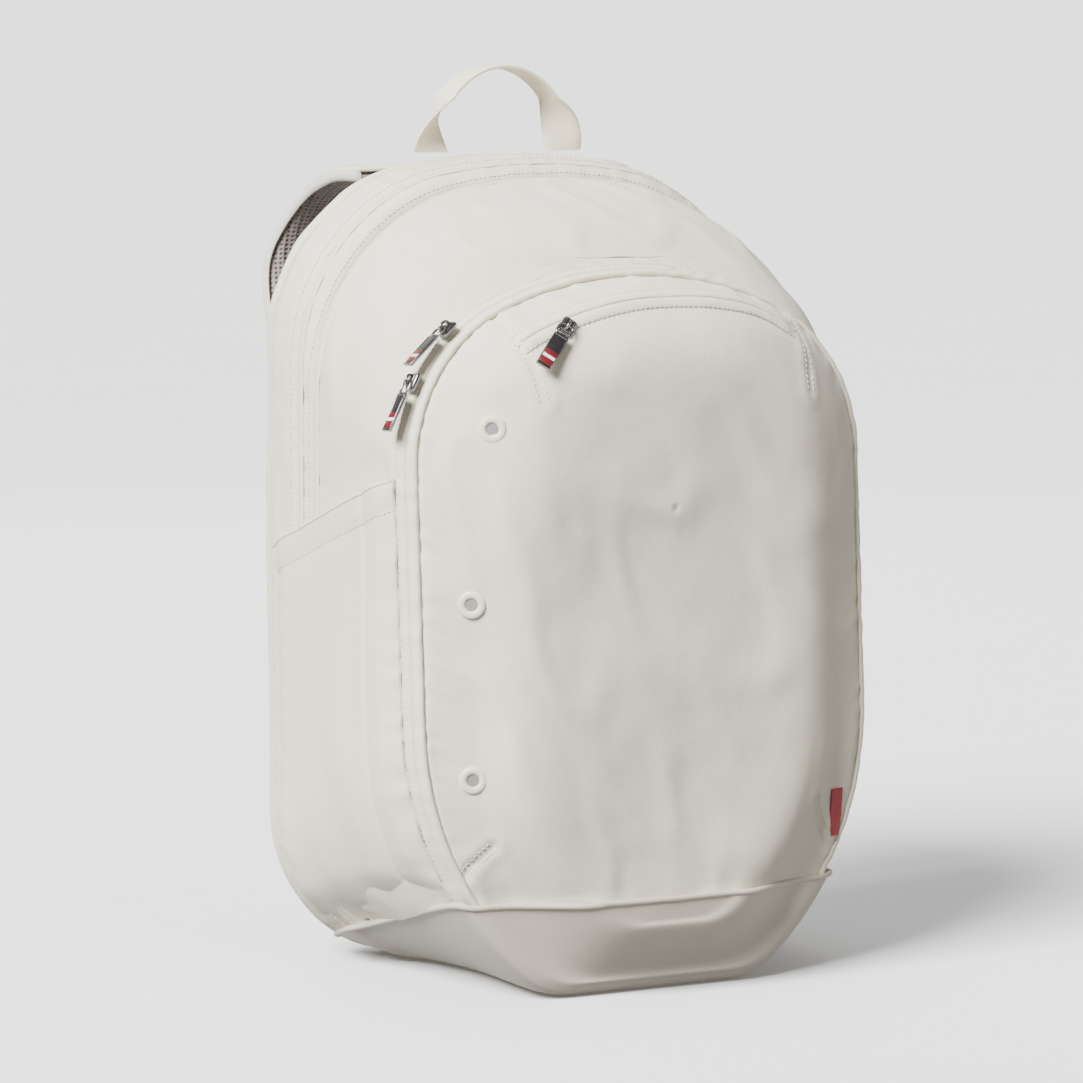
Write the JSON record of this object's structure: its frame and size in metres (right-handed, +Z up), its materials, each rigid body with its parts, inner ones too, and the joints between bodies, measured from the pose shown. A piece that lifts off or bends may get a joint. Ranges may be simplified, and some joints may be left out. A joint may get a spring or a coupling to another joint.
{
  "type": "racket backpack",
  "caption": "Off-white racket backpack with rounded zip-away front pocket, moulded base, side slip pockets, webbing handle and arched padded shoulder straps.",
  "frame": {"origin": "on the floor under the bag, midway between its sides, where the flat of the moulded base rests", "axes": "+Z up, -Y towards the front pocket, +X to the right as seen from the front"},
  "size_m": [0.3475, 0.3317, 0.564],
  "materials": {
    "binding": "soft binding tape",
    "boot_rubber": "smooth satin moulding",
    "buckle_plastic": "satin moulding",
    "eyelet_rubber": "satin moulding",
    "label_red": "folded tape",
    "lining": "plain lining",
    "pull_tab": "dark with raised stripes",
    "shell_fabric": "matte fine weave",
    "spacer_mesh": "ribbed spacer mesh",
    "stiffener_plastic": "plain sheet",
    "webbing": "herringbone webbing",
    "zip_metal": "polished",
    "zip_tape": "water-shedding zip tape"
  },
  "bodies": {
    "bag": {"back_panel": "shell_fabric", "frame_sheet": "stiffener_plastic", "back_pad_left": "spacer_mesh", "back_pad_right": "spacer_mesh", "racket_gusset": "shell_fabric", "racket_zip_tape": "zip_tape", "mid_gusset": "shell_fabric", "main_zip_tape": "zip_tape", "divider": "lining", "main_shell": "shell_fabric", "pocket_back_wall": "lining", "pocket_zip_tape_rear": "zip_tape", "front_lower_panel": "shell_fabric", "side_label": "label_red", "side_pocket_left": "shell_fabric", "side_pocket_right": "shell_fabric", "boot": "boot_rubber", "base_board": "stiffener_plastic", "anchor_tab_left": "shell_fabric", "anchor_tab_right": "shell_fabric", "lower_webbing_left": "webbing", "lower_webbing_right": "webbing"},
    "upper_front": {"mid_gusset_top": "shell_fabric", "main_zip_tape_top": "zip_tape"},
    "cap": {"main_cap": "shell_fabric"},
    "flap": {"pocket_zip_tape_front": "zip_tape", "pocket_piping": "zip_tape", "pocket_panel": "shell_fabric", "eyelets": "eyelet_rubber", "top_pocket_lip": "shell_fabric", "top_pocket_pouch": "lining"},
    "handle_loop": {"handle": "webbing"},
    "strap_left": {"strap_shell_left": "shell_fabric", "strap_mesh_left": "spacer_mesh", "strap_binding_left": "binding"},
    "lock_left": {"ladder_lock_left": "buckle_plastic"},
    "tail_left": {"webbing_tail_left": "webbing"},
    "strap_right": {"strap_shell_right": "shell_fabric", "strap_mesh_right": "spacer_mesh", "strap_binding_right": "binding"},
    "lock_right": {"ladder_lock_right": "buckle_plastic"},
    "tail_right": {"webbing_tail_right": "webbing"},
    "pocket_upper_zip": {"pocket_upper_slider": "zip_metal"},
    "pocket_lower_zip": {"pocket_lower_slider": "zip_metal"},
    "top_pocket_zip": {"top_pocket_slider": "zip_metal"},
    "main_upper_zip": {"main_upper_slider": "zip_metal"},
    "main_lower_zip": {"main_lower_slider": "zip_metal"},
    "racket_upper_zip": {"racket_upper_slider": "zip_metal"},
    "racket_lower_zip": {"racket_lower_slider": "zip_metal"},
    "pocket_upper_tab": {"pocket_upper_ring": "zip_metal", "pocket_upper_pull": "pull_tab"},
    "pocket_lower_tab": {"pocket_lower_ring": "zip_metal", "pocket_lower_pull": "pull_tab"},
    "top_pocket_tab": {"top_pocket_ring": "zip_metal", "top_pocket_pull": "pull_tab"},
    "main_upper_tab": {"main_upper_pull": "pull_tab"},
    "main_lower_tab": {"main_lower_pull": "pull_tab"},
    "racket_upper_tab": {"racket_upper_pull": "pull_tab"},
    "racket_lower_tab": {"racket_lower_pull": "pull_tab"}
  },
  "joints": [
    {"name": "racket_mouth", "type": "hinge", "parent": "bag", "child": "upper_front", "pos_m": [0, -0.0586, 0.448], "axis": [1, 0, 0], "range_deg": [0, 30]},
    {"name": "main_mouth", "type": "hinge", "parent": "upper_front", "child": "cap", "pos_m": [0, -0.0586, 0.448], "axis": [1, 0, 0], "range_deg": [0, 75]},
    {"name": "pocket_mouth", "type": "hinge", "parent": "bag", "child": "flap", "pos_m": [0, -0.124, 0.122], "axis": [1, 0, 0], "range_deg": [0, 95]},
    {"name": "handle_swing", "type": "hinge", "parent": "bag", "child": "handle_loop", "pos_m": [0, 0.101, 0.508], "axis": [1, 0, 0], "range_deg": [-60, 60]},
    {"name": "strap_swing_left", "type": "hinge", "parent": "bag", "child": "strap_left", "pos_m": [-0.058, 0.104, 0.496], "axis": [1, 0, 0], "range_deg": [0, 12], "deforming": ["lower_webbing_left"]},
    {"name": "lock_tilt_left", "type": "hinge", "parent": "strap_left", "child": "lock_left", "pos_m": [-0.096, 0.121, 0.1656], "axis": [1, 0, 0], "range_deg": [-7, 20]},
    {"name": "tail_swing_left", "type": "hinge", "parent": "lock_left", "child": "tail_left", "pos_m": [-0.096, 0.1256, 0.14], "axis": [1, 0, 0], "range_deg": [-6, 60]},
    {"name": "strap_swing_right", "type": "hinge", "parent": "bag", "child": "strap_right", "pos_m": [0.058, 0.104, 0.496], "axis": [1, 0, 0], "range_deg": [0, 12], "deforming": ["lower_webbing_right"]},
    {"name": "lock_tilt_right", "type": "hinge", "parent": "strap_right", "child": "lock_right", "pos_m": [0.096, 0.121, 0.1656], "axis": [1, 0, 0], "range_deg": [-7, 20]},
    {"name": "tail_swing_right", "type": "hinge", "parent": "lock_right", "child": "tail_right", "pos_m": [0.096, 0.1256, 0.14], "axis": [1, 0, 0], "range_deg": [-6, 60]},
    {"name": "pocket_upper_travel", "type": "hinge", "parent": "bag", "child": "pocket_upper_zip", "pos_m": [-0.051, -0.07701, 0.32541], "axis": [0, 0.9981, -0.061], "range_deg": [0, 18]},
    {"name": "pocket_lower_travel", "type": "hinge", "parent": "bag", "child": "pocket_lower_zip", "pos_m": [-0.051, -0.07701, 0.32541], "axis": [0, 0.9981, -0.061], "range_deg": [-28, 0]},
    {"name": "top_pocket_travel", "type": "hinge", "parent": "flap", "child": "top_pocket_zip", "pos_m": [0, -0.11, 0.1974], "axis": [0, 1, 0], "range_deg": [0, 34]},
    {"name": "main_upper_travel", "type": "hinge", "parent": "bag", "child": "main_upper_zip", "pos_m": [0.033, 0.035, 0.36226], "axis": [0, -1, 0], "range_deg": [0, 23]},
    {"name": "main_lower_travel", "type": "slide", "parent": "bag", "child": "main_lower_zip", "axis": [0, 0, -1], "range_m": [0, 0.024]},
    {"name": "racket_upper_travel", "type": "hinge", "parent": "bag", "child": "racket_upper_zip", "pos_m": [0.0425, 0.054, 0.37848], "axis": [0, -1, 0], "range_deg": [0, 17]},
    {"name": "racket_lower_travel", "type": "slide", "parent": "bag", "child": "racket_lower_zip", "axis": [0, 0, -1], "range_m": [0, 0.045]},
    {"name": "pocket_upper_flip", "type": "hinge", "parent": "pocket_upper_zip", "child": "pocket_upper_tab", "pos_m": [-0.12845, -0.07176, 0.41127], "axis": [0, 0.9981, -0.061], "range_deg": [0, 120]},
    {"name": "pocket_lower_flip", "type": "hinge", "parent": "pocket_lower_zip", "child": "pocket_lower_tab", "pos_m": [-0.1532, -0.07369, 0.37965], "axis": [0, 0.9981, -0.061], "range_deg": [0, 100]},
    {"name": "top_pocket_flip", "type": "hinge", "parent": "top_pocket_zip", "child": "top_pocket_tab", "pos_m": [-0.06682, -0.11501, 0.41251], "axis": [-0.7352, 0.4118, 0.5385], "range_deg": [0, 120]},
    {"name": "main_upper_flip", "type": "hinge", "parent": "main_upper_zip", "child": "main_upper_tab", "pos_m": [0.16527, 0.035, 0.3928], "axis": [0, -1, 0], "range_deg": [0, 120]},
    {"name": "main_lower_flip", "type": "hinge", "parent": "main_lower_zip", "child": "main_lower_tab", "pos_m": [0.16875, 0.035, 0.345], "axis": [0, -1, 0], "range_deg": [0, 120]},
    {"name": "racket_upper_flip", "type": "hinge", "parent": "racket_upper_zip", "child": "racket_upper_tab", "pos_m": [0.16698, 0.054, 0.40721], "axis": [0, -1, 0], "range_deg": [0, 120]},
    {"name": "racket_lower_flip", "type": "hinge", "parent": "racket_lower_zip", "child": "racket_lower_tab", "pos_m": [0.17025, 0.054, 0.36], "axis": [0, -1, 0], "range_deg": [0, 120]}
  ]
}
